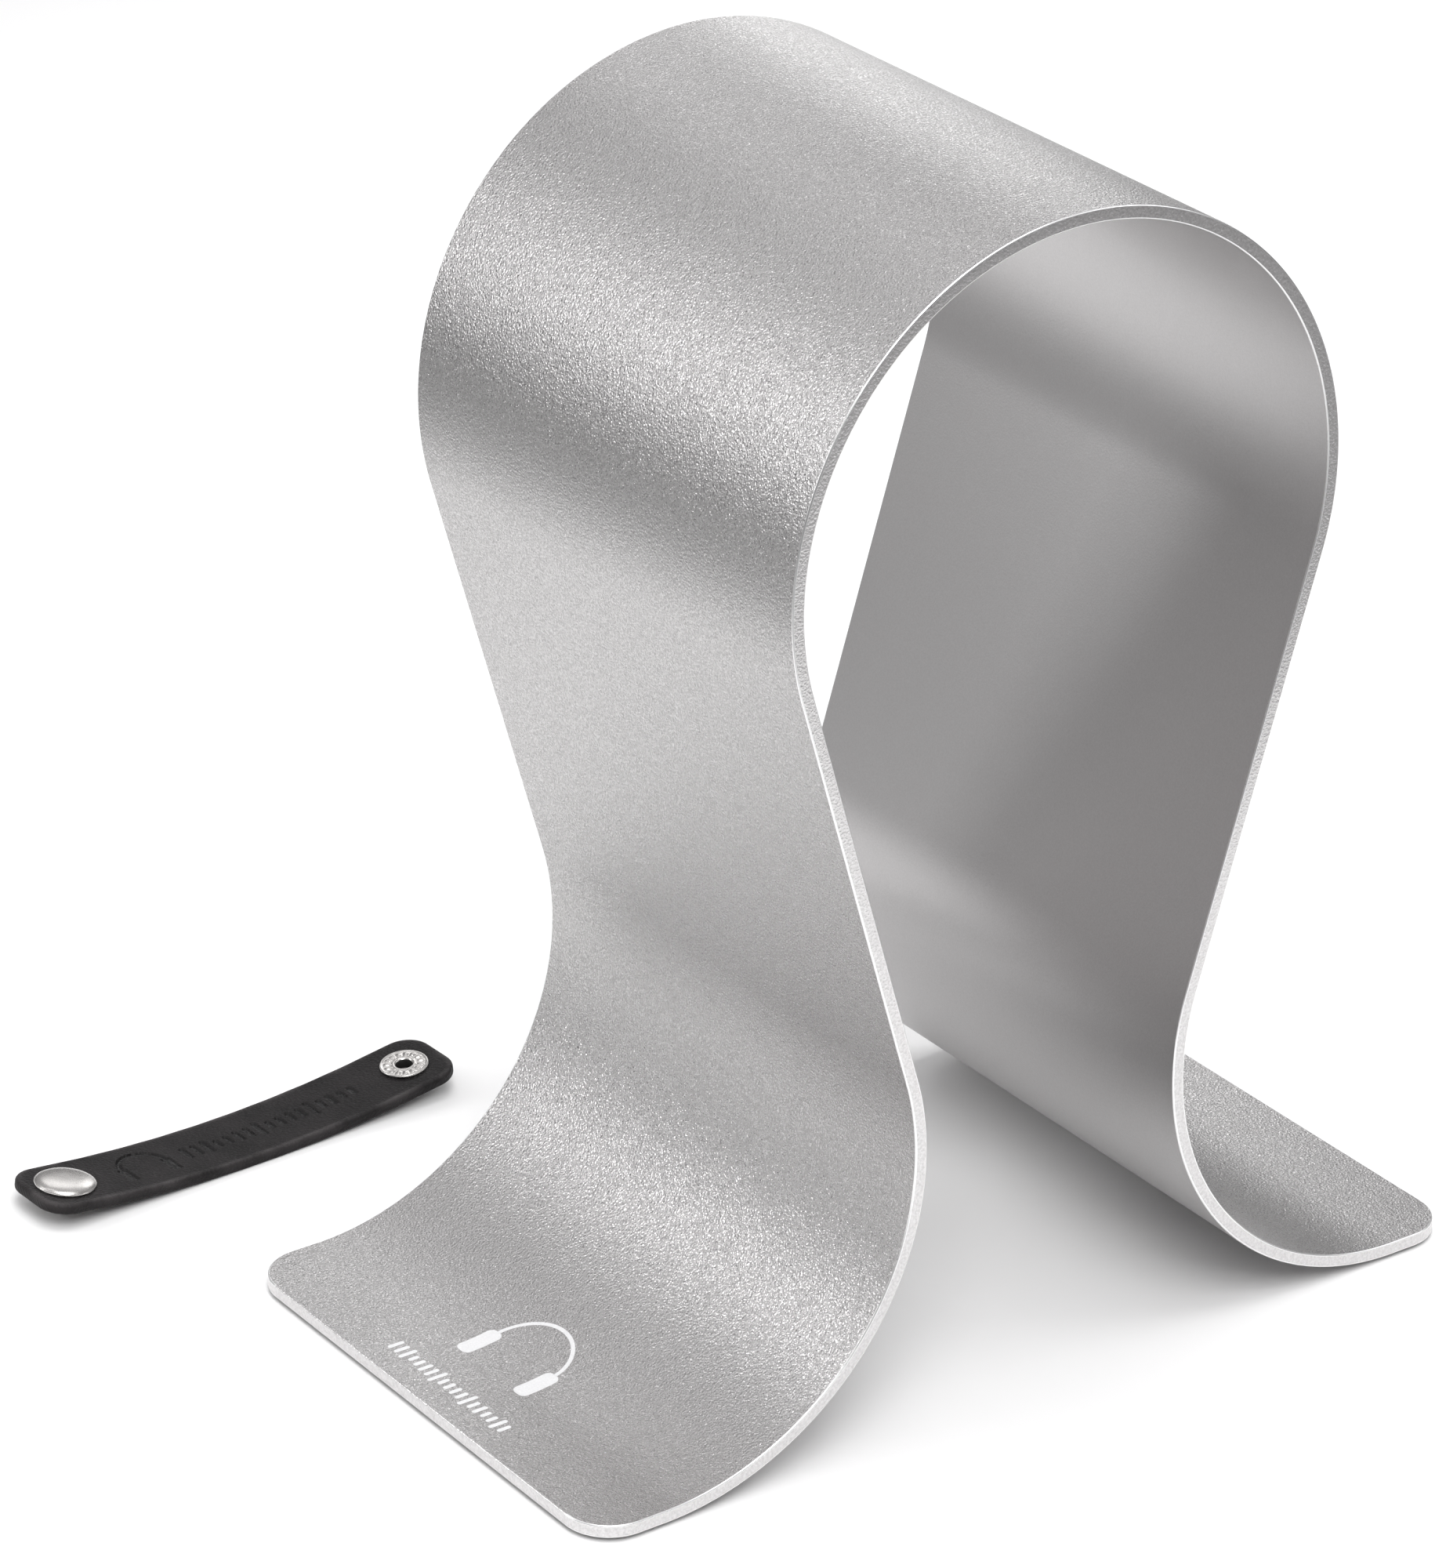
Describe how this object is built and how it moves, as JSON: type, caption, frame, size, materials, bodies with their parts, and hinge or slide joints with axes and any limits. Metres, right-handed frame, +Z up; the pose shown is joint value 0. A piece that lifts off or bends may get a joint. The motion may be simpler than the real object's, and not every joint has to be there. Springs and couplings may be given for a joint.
{
  "type": "headphone stand",
  "caption": "Headphone stand bent from one satin aluminium sheet into a tall open loop: a wide arch holds the headband above curved feet, with a leather cable wrap that snaps shut.",
  "frame": {"origin": "on the desk, at the bottom centre of the box around the stand and its wrap", "axes": "+X along the bent outline, +Y across the sheet towards the wrap, +Z up"},
  "size_m": [0.259, 0.2014, 0.27],
  "materials": {
    "aluminium": "bead-blasted and anodised natural silver, satin",
    "rubber": "matt",
    "leather": "fine grain, satin, with painted edges",
    "nickel": "polished nickel plate",
    "spring_steel": "bright drawn wire"
  },
  "bodies": {
    "root": {"stand_plate": "aluminium", "foot_pad_left_near": "rubber", "foot_pad_left_far": "rubber", "foot_pad_right_near": "rubber", "foot_pad_right_far": "rubber"},
    "wrap_cap_end": {"strap_leather_1": "leather", "snap_cap": "nickel", "snap_cap_shank": "nickel", "snap_socket": "nickel", "snap_ring_spring": "spring_steel"},
    "wrap_2": {"strap_leather_2": "leather"},
    "wrap_3": {"strap_leather_3": "leather"},
    "wrap_4": {"strap_leather_4": "leather"},
    "wrap_5": {"strap_leather_5": "leather"},
    "wrap_6": {"strap_leather_6": "leather"},
    "wrap_7": {"strap_leather_7": "leather"},
    "wrap_8": {"strap_leather_8": "leather"},
    "wrap_post_end": {"strap_leather_9": "leather", "snap_stud": "nickel", "snap_post": "nickel"}
  },
  "joints": [
    {"name": "wrap_close", "type": "hinge", "parent": "root", "child": "wrap_cap_end", "pos_m": [-0.12948, 0.08555, 0.0005], "axis": [0.0436, -0.999, 0], "range_deg": [0, 97.2]},
    {"name": "wrap_bend_1", "type": "hinge", "parent": "wrap_cap_end", "child": "wrap_2", "pos_m": [-0.10943, 0.08643, 0.00437], "axis": [0.0436, -0.999, 0], "range_deg": [0, 53]},
    {"name": "wrap_bend_2", "type": "hinge", "parent": "wrap_2", "child": "wrap_3", "pos_m": [-0.09921, 0.08687, 0.00099], "axis": [0.0436, -0.999, 0], "range_deg": [-50.5, 0]},
    {"name": "wrap_bend_3", "type": "hinge", "parent": "wrap_3", "child": "wrap_4", "pos_m": [-0.08874, 0.08733, 0.00033], "axis": [0.0436, -0.999, 0], "range_deg": [-50.5, 0]},
    {"name": "wrap_bend_4", "type": "hinge", "parent": "wrap_4", "child": "wrap_5", "pos_m": [-0.07826, 0.08779, 0], "axis": [0.0436, -0.999, 0], "range_deg": [-50.5, 0]},
    {"name": "wrap_bend_5", "type": "hinge", "parent": "wrap_5", "child": "wrap_6", "pos_m": [-0.06777, 0.08825, 0], "axis": [0.0436, -0.999, 0], "range_deg": [-50.5, 0]},
    {"name": "wrap_bend_6", "type": "hinge", "parent": "wrap_6", "child": "wrap_7", "pos_m": [-0.05728, 0.08871, 0.00033], "axis": [0.0436, -0.999, 0], "range_deg": [-50.5, 0]},
    {"name": "wrap_bend_7", "type": "hinge", "parent": "wrap_7", "child": "wrap_8", "pos_m": [-0.04681, 0.08916, 0.00099], "axis": [0.0436, -0.999, 0], "range_deg": [-50.5, 0]},
    {"name": "wrap_bend_8", "type": "hinge", "parent": "wrap_8", "child": "wrap_post_end", "pos_m": [-0.03667, 0.08961, 0.00436], "axis": [0.0436, -0.999, 0], "range_deg": [0, 53]}
  ],
  "couplings": [
    {"joint": "wrap_bend_1", "follows": "wrap_close", "ratio": 0.54218},
    {"joint": "wrap_bend_2", "follows": "wrap_close", "ratio": -0.51406},
    {"joint": "wrap_bend_3", "follows": "wrap_close", "ratio": -0.51406},
    {"joint": "wrap_bend_4", "follows": "wrap_close", "ratio": -0.51406},
    {"joint": "wrap_bend_5", "follows": "wrap_close", "ratio": -0.51406},
    {"joint": "wrap_bend_6", "follows": "wrap_close", "ratio": -0.51406},
    {"joint": "wrap_bend_7", "follows": "wrap_close", "ratio": -0.51406},
    {"joint": "wrap_bend_8", "follows": "wrap_close", "ratio": 0.54218}
  ]
}
